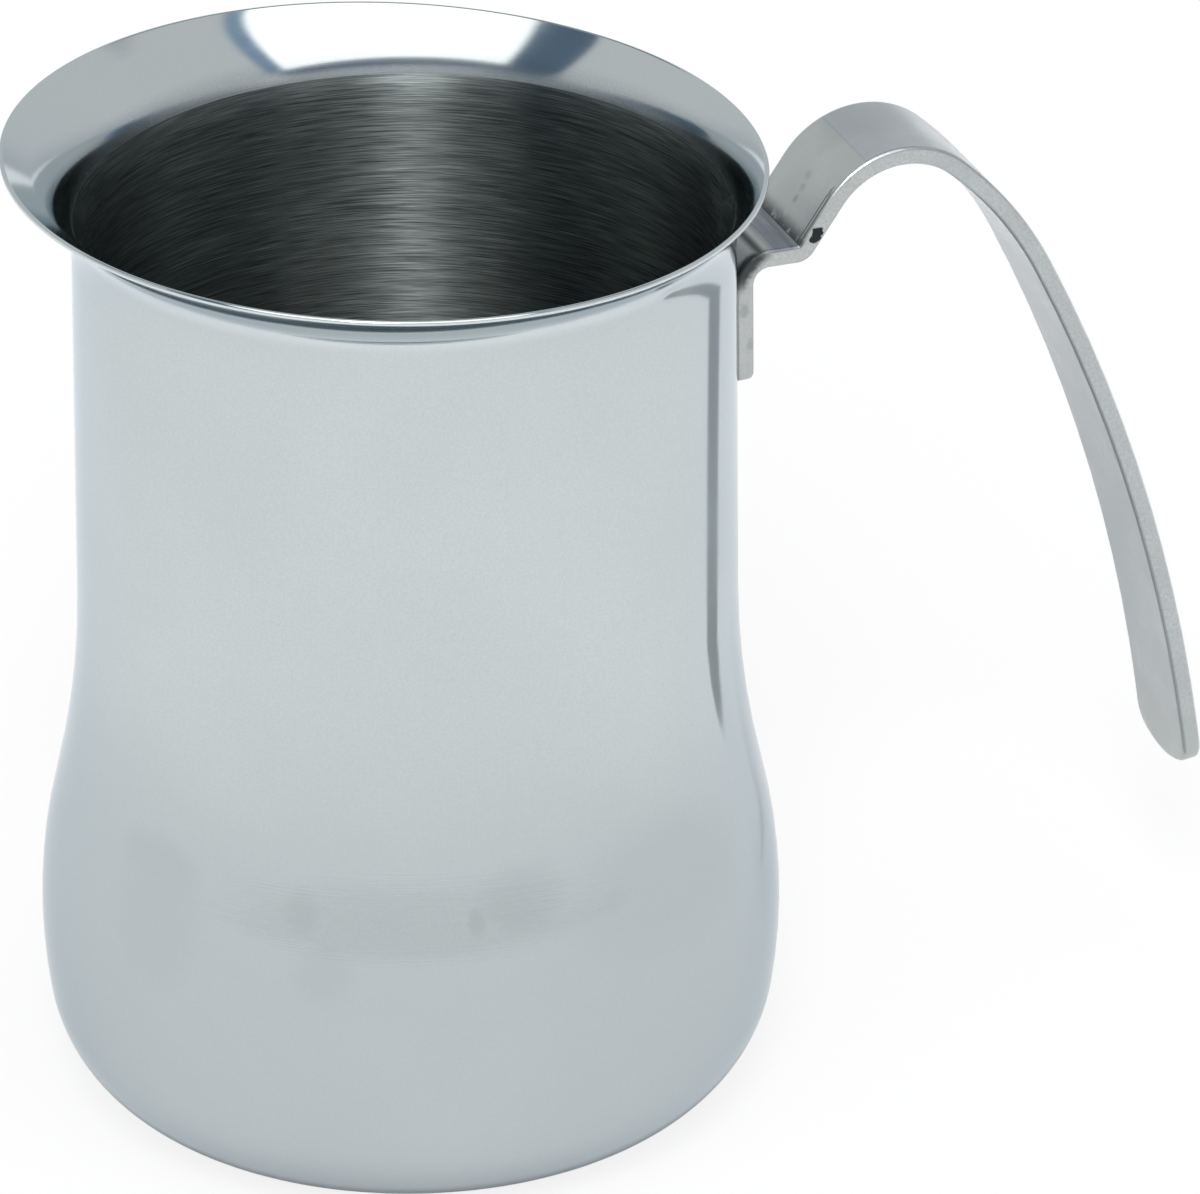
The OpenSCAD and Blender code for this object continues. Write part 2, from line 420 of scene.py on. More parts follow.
def draw_line(step):
    """Draws a straight line on from the selected corner."""
    bpy.ops.mesh.extrude_region_move(TRANSFORM_OT_translate={"value": step * MM})


def draw_arc(centre, start, end):
    """Draws an arc on from the selected corner, about a centre, between two headings in the XZ plane."""
    turn = end - start
    bpy.ops.mesh.spin(
        steps=max(ARC_LEAST, math.ceil(abs(turn) / ARC_STEP)),
        angle=math.radians(turn),
        center=centre * MM,
        axis=(0, 1, 0),
    )


def add_modifier(piece, kind, **values):
    """Adds one modifier, sets its values and applies it."""
    bpy.ops.object.modifier_add(type=kind)
    modifier = piece.modifiers[-1]
    for key, value in values.items():
        setattr(modifier, key, value)
    bpy.ops.object.modifier_apply(modifier=modifier.name)


def face_outwards(piece):
    """Recalculates the normals of an open shell, and makes its lowest face look down."""
    bpy.ops.mesh.select_all(action="SELECT")
    bpy.ops.mesh.normals_make_consistent(inside=False)
    bpy.ops.object.mode_set(mode="OBJECT")
    lowest = min(piece.data.polygons, key=lambda face: face.center.z)
    looks_up = lowest.normal.z > 0
    bpy.ops.object.mode_set(mode="EDIT")
    if looks_up:
        bpy.ops.mesh.flip_normals()


def round_edges(piece, radius):
    """Rounds every sharp edge and shades the piece smooth."""
    add_modifier(
        piece,
        "BEVEL",
        width=radius * MM,
        segments=ROUND_SEGMENTS,
        limit_method="ANGLE",
        angle_limit=math.radians(SHARP_ANGLE),
    )
    bpy.ops.object.shade_smooth()


def clear_under_rim(piece, cut_place, cut_way):
    """Dissolves the edges that run round close under the cut, so that the rim rounds evenly."""
    bpy.ops.mesh.select_all(action="DESELECT")
    bpy.ops.mesh.select_mode(type="EDGE")
    bpy.ops.object.mode_set(mode="OBJECT")
    corners = piece.data.vertices
    for edge in piece.data.edges:
        a, b = (corners[i].co for i in edge.vertices)
        depths = [(cut_place - place).dot(cut_way) for place in (a, b)]
        runs_round = abs(a.x * b.y - a.y * b.x) > a.xy.length * b.xy.length * TURN_LEAST
        close = max(depths) < RIM_CLEAR * MM
        on_cut = max(depths) < CUT_NEAR * MM
        edge.select = runs_round and close and not on_cut
    bpy.ops.object.mode_set(mode="EDIT")
    bpy.ops.mesh.dissolve_edges(use_verts=True)
    bpy.ops.mesh.select_mode(type="VERT")


def set_inside_slots(piece):
    """Gives the faces that look in their material slots, brushed below and flare above."""
    for face in piece.data.polygons:
        radial = Vector((face.center.x, face.center.y, 0))
        looks_in = face.normal.dot(radial) < 0 or face.normal.z > UPWARD_LEAST
        if looks_in:
            face.material_index = BRUSHED_SLOT if face.center.z < BRUSHED_TOP * MM else FLARE_SLOT


def make_vessel():
    """Draws the body line, spins it round, trims the rim and gives the sheet its thickness."""
    piece = start_drawing("pitcher_body", Vector())
    draw_line(at(corner_c.x, 0))
    draw_arc(corner_c, -90, corner_end)
    draw_arc(belly_c, corner_end, belly_end)
    draw_arc(shoulder_c, belly_end + 180, 180)
    draw_line(at(0, flare_z - SHOULDER_Z))
    draw_arc(flare_c, 180, 180 - FLARE_ANGLE)
    draw_line(cone_len * heading(90 - FLARE_ANGLE))
    bpy.ops.mesh.select_all(action="SELECT")
    bpy.ops.mesh.spin(steps=ROUND_STEPS, angle=math.tau, center=(0, 0, 0), axis=(0, 0, 1))
    bpy.ops.mesh.select_all(action="SELECT")
    bpy.ops.mesh.remove_doubles(threshold=MERGE * MM)
    face_outwards(piece)
    cut_place = at(0, RIM_Z) * MM
    cut_way = heading(90 - RIM_TILT)
    bpy.ops.mesh.bisect(plane_co=cut_place, plane_no=cut_way, clear_outer=True, threshold=CUT_NEAR * MM)
    clear_under_rim(piece, cut_place, cut_way)
    bpy.ops.object.mode_set(mode="OBJECT")
    add_modifier(piece, "SOLIDIFY", thickness=WALL * MM, offset=-1, use_even_offset=True)
    round_edges(piece, RIM_ROUND)
    add_modifier(piece, "WEIGHTED_NORMAL")
    set_inside_slots(piece)
    return piece


def bar_path():
    """Points along the middle line of the bar, from the foot to the tip, in the XZ plane."""
    points = [at(foot_mid, foot_bottom)]
    for centre, radius, start, end in BENDS:
        steps = max(BEND_LEAST, math.ceil(abs(end - start) / BEND_STEP))
        for i in range(steps + 1):
            points.append(centre + radius * heading(start + (end - start) * i / steps))
    return points


def draw_bar_outline(length):
    """Draws the flat bar along +X as one face in edit mode, with its shaped foot and tip."""
    half = BAR_W / 2
    side_len = length - tip_back - FOOT_CORNER_R
    piece = start_drawing("bar_handle", at(FOOT_CORNER_R, -half))
    draw_line(at(side_len, 0))
    draw_arc(at(length - tip_back, -tip_corner_y), -90, -tip_turn)
    draw_arc(at(length - TIP_CROWN_R, 0), -tip_turn, tip_turn)
    draw_arc(at(length - tip_back, tip_corner_y), tip_turn, 90)
    draw_line(at(-side_len, 0))
    draw_arc(at(FOOT_CORNER_R, half - FOOT_CORNER_R), 90, 180)
    draw_line(at(0, 2 * FOOT_CORNER_R - BAR_W))
    draw_arc(at(FOOT_CORNER_R, FOOT_CORNER_R - half), 180, 270)
    bpy.ops.mesh.select_all(action="SELECT")
    bpy.ops.mesh.remove_doubles(threshold=MERGE * MM)
    bpy.ops.mesh.edge_face_add()
    return piece


def bend_bar(piece, path):
    """Bends a bar that lies along +X, with its width along Z, so that it follows a path in the XZ plane."""
    line = bpy.data.curves.new("bar_path", "CURVE")
    line.dimensions = "2D"
    spline = line.splines.new("POLY")
    spline.points.add(len(path) - 1)
    for point, place in zip(spline.points, path):
        point.co = (place.x * MM, place.z * MM, 0, 1)
    guide = bpy.data.objects.new("bar_path", line)
    bpy.context.collection.objects.link(guide)
    add_modifier(piece, "CURVE", object=guide, deform_axis="POS_X")
    bpy.data.objects.remove(guide)
    piece.rotation_euler.x = math.pi / 2
    bpy.ops.object.transform_apply(rotation=True)


def make_handle():
    """Cuts a flat bar with its shaped ends, rounds its edges and bends it along its middle line."""
    path = bar_path()
    stations = [0]
    for a, b in zip(path, path[1:]):
        stations.append(stations[-1] + (b - a).length)
    piece = draw_bar_outline(stations[-1])
    for station in stations[1:-1]:
        bpy.ops.mesh.select_all(action="SELECT")
        bpy.ops.mesh.bisect(plane_co=at(station, 0) * MM, plane_no=(1, 0, 0))
    bpy.ops.object.mode_set(mode="OBJECT")
    add_modifier(piece, "SOLIDIFY", thickness=BAR_T * MM, offset=0)
    bpy.ops.object.mode_set(mode="EDIT")
    bpy.ops.mesh.select_all(action="SELECT")
    bpy.ops.mesh.normals_make_consistent(inside=False)
    bpy.ops.object.mode_set(mode="OBJECT")
    round_edges(piece, BAR_ROUND)
    # The places on the straight bar are kept, so that its marks can follow it round the bends
    flat = piece.data.attributes.new("flat", "FLOAT_VECTOR", "POINT")
    for vertex, place in zip(piece.data.vertices, flat.data):
        place.vector = vertex.co
    bend_bar(piece, path)
    add_modifier(piece, "WEIGHTED_NORMAL")
    return piece


def add(tree, kind, sockets=None, **settings):
    """Adds a node. sockets maps an input's name or number to a value, or to another node's output."""
    node = tree.nodes.new("ShaderNode" + kind)
    for name, value in settings.items():
        setattr(node, name, value)
    for key, value in (sockets or {}).items():
        if isinstance(value, bpy.types.NodeSocket):
            tree.links.new(value, node.inputs[key])
        else:
            node.inputs[key].default_value = value
    return node


def calc(tree, operation, *values):
    """One sum on values or sockets."""
    return add(tree, "Math", dict(enumerate(values)), operation=operation).outputs[0]


def product(tree, first, *others):
    """Several values multiplied with each other, such as masks that all have to hold."""
    for other in others:
        first = calc(tree, "MULTIPLY", first, other)
    return first


def strongest(tree, first, *others):
    """The largest of several values."""
    for other in others:
        first = calc(tree, "MAXIMUM", first, other)
    return first


def vector(tree, operation, sockets):
    """One sum on vectors that gives a vector."""
    return add(tree, "VectorMath", sockets, operation=operation).outputs["Vector"]


def length_of(tree, place):
    """The length of a vector."""
    return add(tree, "VectorMath", {0: place}, operation="LENGTH").outputs["Value"]


def split(tree, place):
    """The three parts of a vector."""
    return add(tree, "SeparateXYZ", {0: place}).outputs[:3]


def ease(tree, value, low, high, to_low=0.0, to_high=1.0):
    """A value that eases from one number to another while the given value goes from low to high."""
    sockets = {0: value, 1: low, 2: high, 3: to_low, 4: to_high}
    return add(tree, "MapRange", sockets, interpolation_type="SMOOTHSTEP").outputs[0]


def fade(tree, value, stretch, to_low=0.0, to_high=1.0):
    """A value that eases from one number to another along a stretch in millimetres."""
    low, high = stretch
    return ease(tree, value, low * MM, high * MM, to_low, to_high)


def band(tree, value, low, high, soft, unit=1.0):
    """A mask that is 1 between two values and has soft ends."""
    rise = ease(tree, value, (low - soft) * unit, (low + soft) * unit)
    fall = ease(tree, value, (high - soft) * unit, (high + soft) * unit, 1.0, 0.0)
    return product(tree, rise, fall)


def mix(tree, share, first, second):
    """A colour between two colours."""
    return add(tree, "Mix", {0: share, 6: first, 7: second}, data_type="RGBA").outputs[2]


def noise(tree, place, scale, detail=2.0):
    """Noise from 0 to 1 at a place."""
    sockets = {"Vector": place, "Scale": scale, "Detail": detail}
    return add(tree, "TexNoise", sockets).outputs["Fac"]


def new_group(name, inputs, outputs):
    """An empty node group with its input and output nodes. Both lists hold pairs of name and socket kind."""
    group = bpy.data.node_groups.new(name, "ShaderNodeTree")
    for way, sockets in (("INPUT", inputs), ("OUTPUT", outputs)):
        for label, kind in sockets:
            group.interface.new_socket(label, in_out=way, socket_type="NodeSocket" + kind)
    return group, group.nodes.new("NodeGroupInput").outputs, group.nodes.new("NodeGroupOutput").inputs


def place_group(tree, group, **sockets):
    """Places a node group in a material and gives its outputs."""
    node = add(tree, "Group", node_tree=group)
    for label, value in sockets.items():
        if isinstance(value, bpy.types.NodeSocket):
            tree.links.new(value, node.inputs[label])
        else:
            node.inputs[label].default_value = value
    return node.outputs


def make_hairlines():
    """Fine scratches that run along the first two axes of a place and lie side by side on the third."""
    group, given, made = new_group(
        "hairlines", [("Place", "Vector")], [("Lines", "Float"), ("Scratch", "Float")]
    )
    fine = noise(group, given["Place"], 1.0, 3.0)
    wide = noise(group, given["Place"], LINE_WIDE, 2.0)
    fine_part = product(group, fine, LINE_FINE_SHARE)
    wide_part = product(group, wide, LINE_WIDE_SHARE)
    blend = calc(group, "ADD", fine_part, wide_part)
    group.links.new(ease(group, blend, *LINE_FADE), made["Lines"])
    group.links.new(ease(group, fine, *SCRATCH_FADE), made["Scratch"])
    return group


def make_wipe_marks():
    """Soft patches that polishing and wiping leave on steel, from 0 to 1."""
    group, given, made = new_group(
        "wipe_marks", [("Place", "Vector"), ("Size", "Float")], [("Haze", "Float")]
    )
    soft = add(group, "TexNoise", {"Vector": given["Place"], "Detail": 3.0, "Distortion": 0.4})
    group.links.new(calc(group, "DIVIDE", 1.0, given["Size"]), soft.inputs["Scale"])
    group.links.new(ease(group, soft.outputs["Fac"], *HAZE_FADE), made["Haze"])
    return group


def make_soft_spot():
    """A soft spot from 1 in its middle to 0 at its edge, whose size is half its extent along each axis."""
    group, given, made = new_group(
        "soft_spot", [("Place", "Vector"), ("Middle", "Vector"), ("Size", "Vector")], [("Mask", "Float")]
    )
    off = vector(group, "SUBTRACT", {0: given["Place"], 1: given["Middle"]})
    part = vector(group, "DIVIDE", {0: off, 1: given["Size"]})
    group.links.new(ease(group, length_of(group, part), *SPOT_FADE, 1.0, 0.0), made["Mask"])
    return group


def warped(tree, place, size, amount):
    """A place that is pushed about by noise, so that marks get ragged edges."""
    push = add(tree, "TexNoise", {"Vector": place, "Scale": 1 / (size * MM), "Detail": 3.0}).outputs["Color"]
    push = vector(tree, "SUBTRACT", {0: push, 1: (HALF, HALF, HALF)})
    push = vector(tree, "SCALE", {0: push, 3: 2 * amount * MM})
    return vector(tree, "ADD", {0: place, 1: push})


def spots(tree, soft_spot, place, marks):
    """The strongest of several soft spots at a place. Each mark is a middle, a size and a strength."""
    masks = []
    for middle, size, strength in marks:
        middle = Vector(middle) * MM
        size = Vector(size) * MM
        spot = place_group(tree, soft_spot, Place=place, Middle=middle, Size=size)
        masks.append(product(tree, spot["Mask"], strength))
    return strongest(tree, *masks)


def new_material(name):
    """A material with an empty node tree and its output node."""
    material = bpy.data.materials.new(name)
    material.use_nodes = True
    tree = material.node_tree
    tree.nodes.clear()
    return material, tree, add(tree, "OutputMaterial")


def add_steel(tree, out, colour, rough, sockets):
    """Adds a bare metal shader and joins it to the material's output."""
    metal = {"Base Color": colour, "Metallic": 1.0, "Roughness": rough}
    steel = add(tree, "BsdfPrincipled", {**metal, **sockets})
    tree.links.new(steel.outputs[0], out.inputs["Surface"])


def line_bump(tree, lines, strength, depth):
    """The normal of a surface that the lines are scratched into."""
    return add(tree, "Bump", {"Strength": strength, "Distance": depth * MM, "Height": lines}).outputs[0]


def line_rough(tree, haze, lines, rough, line_rough_share):
    """Roughness from clean to hazed steel, raised a little by the lines."""
    return calc(tree, "ADD", ease(tree, haze, 0, 1, *rough), product(tree, lines, line_rough_share))


def round_place(tree, pitch, line_len):
    """Places on the body for lines that run round its axis, side by side up the wall and across the base."""
    x, y, z = split(tree, add(tree, "TexCoord").outputs["Object"])
    level = add(tree, "CombineXYZ", {0: x, 1: y}).outputs[0]
    ring = vector(tree, "NORMALIZE", {0: level})
    along = vector(tree, "SCALE", {0: ring, 3: NECK_R / line_len})
    across = product(tree, calc(tree, "ADD", z, length_of(tree, level)), 1 / (pitch * MM))
    step = add(tree, "CombineXYZ", {2: across}).outputs[0]
    return vector(tree, "ADD", {0: along, 1: step})


def belly_smudges(tree, soft_spot, place):
    """Mask of the smudges that hands left on the belly."""
    marks = []
    for azimuth, height, half_arc, half_height, strength in BELLY_MARKS:
        turn = math.radians(azimuth)
        middle = (BELLY_MARK_R * math.cos(turn), BELLY_MARK_R * math.sin(turn), height)
        marks.append((middle, (half_arc, half_arc, half_height), strength))
    return spots(tree, soft_spot, warped(tree, place, BELLY_RAGGED_SIZE, BELLY_RAGGED_PUSH), marks)


def make_polished_steel(name, border_rough, hairlines, wipe_marks, soft_spot):
    """Polished sheet: a soft mirror with faint lines and smudges, rougher at the brushed border, with painted
    shade on its lower belly and along its base.
    """
    material, tree, out = new_material(name)
    place = add(tree, "TexCoord").outputs["Object"]
    lines = place_group(tree, hairlines, Place=round_place(tree, POLISHED_PITCH, POLISHED_LINE_LEN))["Lines"]
    haze = place_group(tree, wipe_marks, Place=place, Size=POLISHED_WIPE * MM)["Haze"]
    grain = ease(tree, noise(tree, place, POLISHED_GRAIN), *GRAIN_FADE)
    height = split(tree, place)[2]
    colour = mix(tree, haze, POLISHED_CLEAN, POLISHED_HAZED)
    colour = mix(tree, product(tree, grain, GRAIN_SHARE), colour, GRAIN_TONE)
    colour = mix(tree, belly_smudges(tree, soft_spot, place), colour, SMUDGE_TONE)
    # Painted shade: the lower belly darkens for the shaded floor near the base that it reflects
    colour = mix(tree, fade(tree, height, BELLY_SHADE_FADE, BELLY_SHADE_SHARE, 0.0), colour, BELLY_REFLECTED_SHADE)
    colour = mix(tree, fade(tree, height, FLARE_FADE, 0.0, FLARE_SHARE), colour, FLARE_TONE)
    # Painted shade: a dark band along the bottom edge for the contact shadow
    colour = mix(tree, fade(tree, height, BASE_SHADE_FADE, BASE_SHADE_SHARE, 0.0), colour, BASE_CONTACT_SHADE)
    rough = line_rough(tree, haze, lines, POLISHED_ROUGH, POLISHED_LINE_ROUGH)
    rough = calc(tree, "ADD", rough, fade(tree, height, BORDER_FADE, border_rough, 0.0))
    bump = line_bump(tree, lines, POLISHED_BUMP, POLISHED_BUMP_DEPTH)
    add_steel(tree, out, colour, rough, {"Specular Tint": POLISHED_EDGE, "Normal": bump})
    return material


def make_brushed_steel(hairlines, wipe_marks):
    """Brushed inside: lines round the axis that spread the light up and down the wall."""
    material, tree, out = new_material("brushed_steel")
    place = add(tree, "TexCoord").outputs["Object"]
    brushing = place_group(tree, hairlines, Place=round_place(tree, BRUSHED_PITCH, BRUSHED_LINE_LEN))
    lines = brushing["Lines"]
    haze = place_group(tree, wipe_marks, Place=place, Size=BRUSHED_WIPE * MM)["Haze"]
    colour = mix(tree, lines, BRUSHED_DARK, BRUSHED_LINE)
    colour = mix(tree, brushing["Scratch"], colour, BRUSHED_SCRATCH)
    rough = line_rough(tree, haze, lines, BRUSHED_ROUGH, BRUSHED_LINE_ROUGH)
    finish = {
        "Specular Tint": BRUSHED_EDGE,
        "Anisotropic": BRUSHED_STRETCH,
        "Anisotropic Rotation": BRUSHED_TURN,
        "Normal": line_bump(tree, lines, BRUSHED_BUMP, BRUSHED_BUMP_DEPTH),
    }
    add_steel(tree, out, colour, rough, finish)
    return material


def bar_tones(tree, flat, haze):
    """Colour of the bar without its marks, with painted shade on its tip and lower face and a painted
    highlight on its grip, and the mask of the film and painted shade on its lower face.
    """
    along, side, across = split(tree, flat)
    warm = mix(tree, haze, WARM_CLEAN, WARM_HAZED)
    cool = mix(tree, haze, COOL_CLEAN, COOL_HAZED)
    colour = mix(tree, fade(tree, along, COOL_FADE), warm, cool)
    grain = ease(tree, noise(tree, flat, BAR_GRAIN, 3.0), *GRAIN_FADE, *BAR_GRAIN_SHARE)
    # The foot's dulling is dirt and heat tint, the side face's is grain, and the tip's is painted shade
    dull_and_shade = strongest(
        tree,
        fade(tree, along, FOOT_DULL_FADE, FOOT_DULL_SHARE, 0.0),
        fade(tree, along, TIP_SHADE_FADE, 0.0, TIP_SHADE_SHARE),
        product(tree, fade(tree, across, SIDE_FACE), grain),
    )
    colour = mix(tree, dull_and_shade, colour, DULL_AND_SHADE_TONE)
    # Painted shade on the lower face, which also gets a clear film
    lower = fade(tree, side, LOWER_FACE, 1.0, 0.0)
    film_and_shade = product(tree, lower, fade(tree, along, FILM_AND_SHADE_FADE, FILM_AND_SHADE_SHARE, 0.0))
    colour = mix(tree, film_and_shade, colour, LOWER_FACE_SHADE_TONE)
    # Painted highlight: the outer face lightens along the haunch and grip
    outer = fade(tree, side, OUTER_FACE)
    grip_highlight = product(tree, outer, fade(tree, along, GRIP_HIGHLIGHT_FADE, 0.0, GRIP_HIGHLIGHT_SHARE))
    return mix(tree, grip_highlight, colour, GRIP_HIGHLIGHT_TONE), film_and_shade


def shelf_shade_streaks(tree, flat):
    """Mask of the painted shade on the shelf, dark and bluish in streaks."""
    along, side, _ = split(tree, flat)
    shade_streaks = vector(tree, "MULTIPLY", {0: flat, 1: SHELF_SHADE_STREAKS})
    shade_streaks = ease(tree, noise(tree, shade_streaks, 1.0, 3.0), *SHADE_STREAK_FADE, *SHADE_STREAK_SHARE)
    return product(tree, band(tree, along, *shelf_shade_band, MM), fade(tree, side, UPPER_FACE), shade_streaks)


def bar_marks_and_shade(tree, flat, soft_spot):
    """Mask of the bar's dark marks and painted shade: painted shade in the creases at its bends and along its
    lower front edge, residue at its bends, tool marks, spots and nick.
    """
    along, side, across = split(tree, flat)
    upper = fade(tree, side, UPPER_FACE)
    stain = ease(tree, noise(tree, flat, BAR_STAIN, 5.0), *STAIN_FADE)
    by_bend = product(tree, fade(tree, along, residue_fall, 1.0, 0.0), fade(tree, along, residue_rise))
    press_lines = strongest(tree, band(tree, across, *PRESS_INNER, MM), band(tree, across, *PRESS_OUTER, MM))
    edge = product(tree, fade(tree, across, SIDE_EDGE), fade(tree, side, LOWER_EDGE, 1.0, 0.0))
    ragged = warped(tree, flat, BAR_RAGGED_SIZE, BAR_RAGGED_PUSH)
    nick = spots(tree, soft_spot, warped(tree, flat, NICK_RAGGED_SIZE, NICK_RAGGED_PUSH), NICK)
    return strongest(
        tree,
        # Painted shade: a dark line in the crease between the shelf and the ramp
        product(tree, band(tree, along, *crease_shade_band, MM), upper, CREASE_SHADE),
        product(tree, by_bend, upper, stain, RESIDUE_DARK),
        product(tree, press_lines, upper, band(tree, along, *press_band, MM), PRESS_DARK),
        # Painted shade: a dark line along the lower front edge of the grip
        product(tree, edge, fade(tree, along, EDGE_SHADE_FADE), EDGE_SHADE_DARK),
        # Painted shade across the foot's bend by the neck
        product(tree, band(tree, along, *NECK_CREASE, MM), upper, NECK_CREASE_SHADE),
        product(tree, band(tree, along, *ARCH_LINE_BAND, MM), upper, ARCH_LINE_DARK),
        spots(tree, soft_spot, ragged, BAR_MARKS),
        ease(tree, nick, *NICK_FADE),
    )


def make_satin_steel(hairlines, wipe_marks, soft_spot):
    """Tumbled bar: an even satin with short scratches, dark residue and tool marks at its tight bends,
    painted shade in its creases, on its shelf, lower face, tip and lower front edge, and a painted highlight
    on its grip.
    """
    material, tree, out = new_material("satin_steel")
    flat = add(tree, "Attribute", attribute_name="flat").outputs["Vector"]
    line_place = vector(tree, "MULTIPLY", {0: flat, 1: BAR_LINES})
    lines = place_group(tree, hairlines, Place=line_place)["Lines"]
    haze = place_group(tree, wipe_marks, Place=flat, Size=BAR_WIPE * MM)["Haze"]
    colour, film_and_shade = bar_tones(tree, flat, haze)
    # Painted shade on the shelf by the neck, in streaks
    colour = mix(tree, shelf_shade_streaks(tree, flat), colour, SHELF_SHADE_TONE)
    dark = bar_marks_and_shade(tree, flat, soft_spot)
    # Marks and painted shade
    colour = mix(tree, dark, colour, MARK_AND_SHADE_TONE)
    rough = line_rough(tree, haze, lines, BAR_ROUGH, BAR_LINE_ROUGH)
    rough = calc(tree, "ADD", rough, product(tree, dark, MARK_ROUGH))
    finish = {
        "Coat Weight": film_and_shade,
        "Coat Roughness": FILM_ROUGH,
        "Normal": line_bump(tree, lines, BAR_BUMP, BAR_BUMP_DEPTH),
    }
    add_steel(tree, out, colour, rough, finish)
    return material


def make_weld_steel(wipe_marks):
    """Weld nuggets: dull steel with straw and blue heat colours."""
    material, tree, out = new_material("weld_steel")
    place = add(tree, "TexCoord").outputs["Object"]
    haze = place_group(tree, wipe_marks, Place=place, Size=WELD_PATCH * MM)["Haze"]
    add_steel(tree, out, mix(tree, haze, WELD_STRAW, WELD_BLUE), ease(tree, haze, 0, 1, *WELD_ROUGH), {})
    return material


def make_floor():
    """A pale floor with the object's shadow on it, white to the camera and clear from below."""
    bpy.ops.object.select_all(action="DESELECT")
    bpy.ops.mesh.primitive_plane_add(size=FLOOR_SIZE * MM, location=(0, 0, -FLOOR_GAP * MM))
    floor = bpy.context.object
    floor.name = "floor"
    material, tree, out = new_material("pale_floor")
    path = add(tree, "LightPath").outputs
    matt = add(tree, "BsdfDiffuse", {"Color": FLOOR_COLOUR})
    glow = add(tree, "Emission", {"Strength": 1.0})
    # White in second reflections too, which keeps the underside of the flare bright
    to_camera = product(tree, path["Is Camera Ray"], FLOOR_WHITE)
    white = strongest(tree, to_camera, calc(tree, "COMPARE", path["Glossy Depth"], SECOND, HALF))
    near = add(tree, "MixShader", {0: white, 1: matt.outputs[0], 2: glow.outputs[0]})
    reach = length_of(tree, add(tree, "TexCoord").outputs["Object"])
    # Far away the steel sees the studio instead, and from below nothing hides the pitcher
    far = product(tree, fade(tree, reach, FLOOR_FADE), path["Is Glossy Ray"])
    passed = calc(tree, "GREATER_THAN", path["Transparent Depth"], HALF)
    hidden = strongest(tree, add(tree, "NewGeometry").outputs["Backfacing"], passed, far)
    clear = add(tree, "BsdfTransparent")
    shown = add(tree, "MixShader", {0: hidden, 1: near.outputs[0], 2: clear.outputs[0]})
    tree.links.new(shown.outputs[0], out.inputs["Surface"])
    floor.data.materials.append(material)


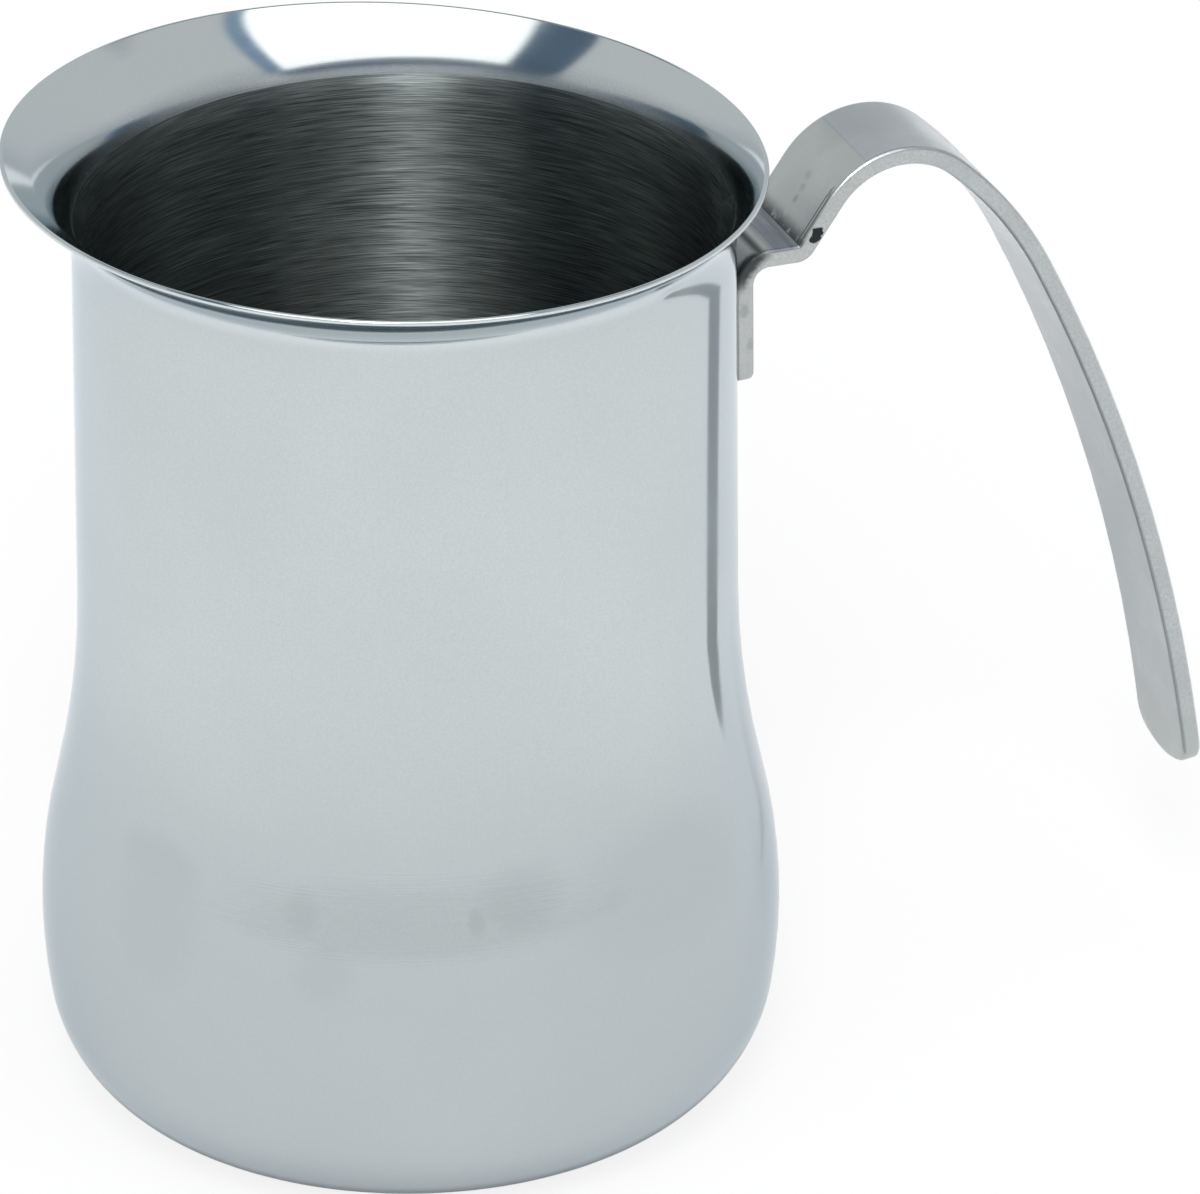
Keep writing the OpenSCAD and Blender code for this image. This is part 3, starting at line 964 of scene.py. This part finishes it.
def make_studio():
    """Soft light all round: pale walls, one large soft panel in front and above, and dark gaps beside it."""
    world = bpy.data.worlds.new("studio")
    bpy.context.scene.world = world
    world.use_nodes = True
    tree = world.node_tree
    tree.nodes.clear()
    out = add(tree, "OutputWorld")
    way = add(tree, "TexCoord").outputs["Generated"]
    turn = math.radians(CAMERA_AZIMUTH)
    front = Vector((math.sin(turn), -math.cos(turn), 0))
    right = Vector((math.cos(turn), math.sin(turn), 0))
    up = Vector((0, 0, 1))
    lean = math.radians(PANEL_ELEVATION)
    facing = front * math.cos(lean) + up * math.sin(lean)
    rising = up * math.cos(lean) - front * math.sin(lean)

    def part(axis):
        return add(tree, "VectorMath", {0: way, 1: axis}, operation="DOT_PRODUCT").outputs["Value"]

    ahead = part(facing)
    near = calc(tree, "MAXIMUM", ahead, AHEAD_LEAST)
    across = calc(tree, "DIVIDE", part(right), near)
    above = calc(tree, "DIVIDE", part(rising), near)
    height = part(up)
    in_front = calc(tree, "GREATER_THAN", ahead, AHEAD_SHOWN)

    def patch(left_edge, right_edge, low, high, soft):
        wide = band(tree, across, left_edge, right_edge, soft)
        return product(tree, wide, band(tree, above, low, high, soft), in_front)

    wall = mix(tree, ease(tree, height, *WALL_FADE), WALL_LOW, WALL_HIGH)
    behind = ease(tree, part(front), *BACK_FADE, 1.0, 0.0)
    wall = mix(tree, product(tree, behind, ease(tree, height, *BACK_HIGH_FADE)), wall, BACK_HIGH)
    wall = mix(tree, patch(*FRONT_EDGE_PATCH), wall, FLOOR_EDGE)
    wall = mix(tree, patch(*FRONT_LOW_PATCH), wall, FRONT_LOW)
    ground = mix(tree, ease(tree, height, *GROUND_FADE), FLOOR_BELOW, FLOOR_EDGE)
    wall = mix(tree, ease(tree, height, *HORIZON_FADE), ground, wall)
    wall = mix(tree, patch(*GAP_LEFT_PATCH), wall, GAP_LEFT)
    wall = mix(tree, patch(*GAP_RIGHT_PATCH), wall, GAP_RIGHT)
    # Panel and lamp leave out second reflections, which would wash out the inside and ring the flare
    path = add(tree, "LightPath").outputs
    first = calc(tree, "LESS_THAN", path["Glossy Depth"], FIRST_ONLY)
    wall = mix(tree, product(tree, patch(*PANEL_PATCH), first), wall, PANEL)
    wall = mix(tree, product(tree, patch(*LAMP_PATCH), first), wall, LAMP)
    shown = mix(tree, path["Is Camera Ray"], wall, WHITE)
    light = add(tree, "Background", {"Color": shown})
    tree.links.new(light.outputs[0], out.inputs["Surface"])


def make_camera():
    """Puts the camera at the photograph's place."""
    data = bpy.data.cameras.new("camera")
    data.sensor_width = SENSOR_W
    data.lens = CAMERA_LENS
    camera = bpy.data.objects.new("camera", data)
    bpy.context.collection.objects.link(camera)
    turn = math.radians(CAMERA_AZIMUTH)
    rise = math.radians(CAMERA_ELEVATION)
    back = Vector((math.sin(turn) * math.cos(rise), -math.cos(turn) * math.cos(rise), math.sin(rise)))
    camera.location = (Vector(CAMERA_AIM) + CAMERA_DISTANCE * back) * MM
    camera.rotation_mode = "QUATERNION"
    roll = Quaternion((0, 0, 1), math.radians(CAMERA_ROLL))
    camera.rotation_quaternion = (-back).to_track_quat("-Z", "Y") @ roll
    data.clip_end = 2 * FLOOR_SIZE * MM
    bpy.context.scene.camera = camera


def finish_piece(piece, node, slot, *materials):
    """Gives a piece its materials and lets it stand for its CAD node."""
    for material in materials:
        piece.data.materials.append(material)
    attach(piece, "root")
    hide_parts(node)


def main():
    """Makes the finishes, the pieces and the scene around them."""
    hairlines = make_hairlines()
    wipe_marks = make_wipe_marks()
    soft_spot = make_soft_spot()
    polished = make_polished_steel("polished_steel", 0.0, hairlines, wipe_marks, soft_spot)
    flare = make_polished_steel("polished_flare", BORDER_ROUGH, hairlines, wipe_marks, soft_spot)
    brushed = make_brushed_steel(hairlines, wipe_marks)
    satin = make_satin_steel(hairlines, wipe_marks, soft_spot)
    welded = make_weld_steel(wipe_marks)
    finish_piece(make_vessel(), "vessel", "vessel_steel", polished, brushed, flare)
    finish_piece(make_handle(), "handle", "handle_steel", satin)
    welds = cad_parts["spot_welds"]
    welds.data.materials.clear()
    welds.data.materials.append(welded)
    make_floor()
    make_studio()
    make_camera()
    bpy.context.scene.view_settings.view_transform = "Standard"


main()
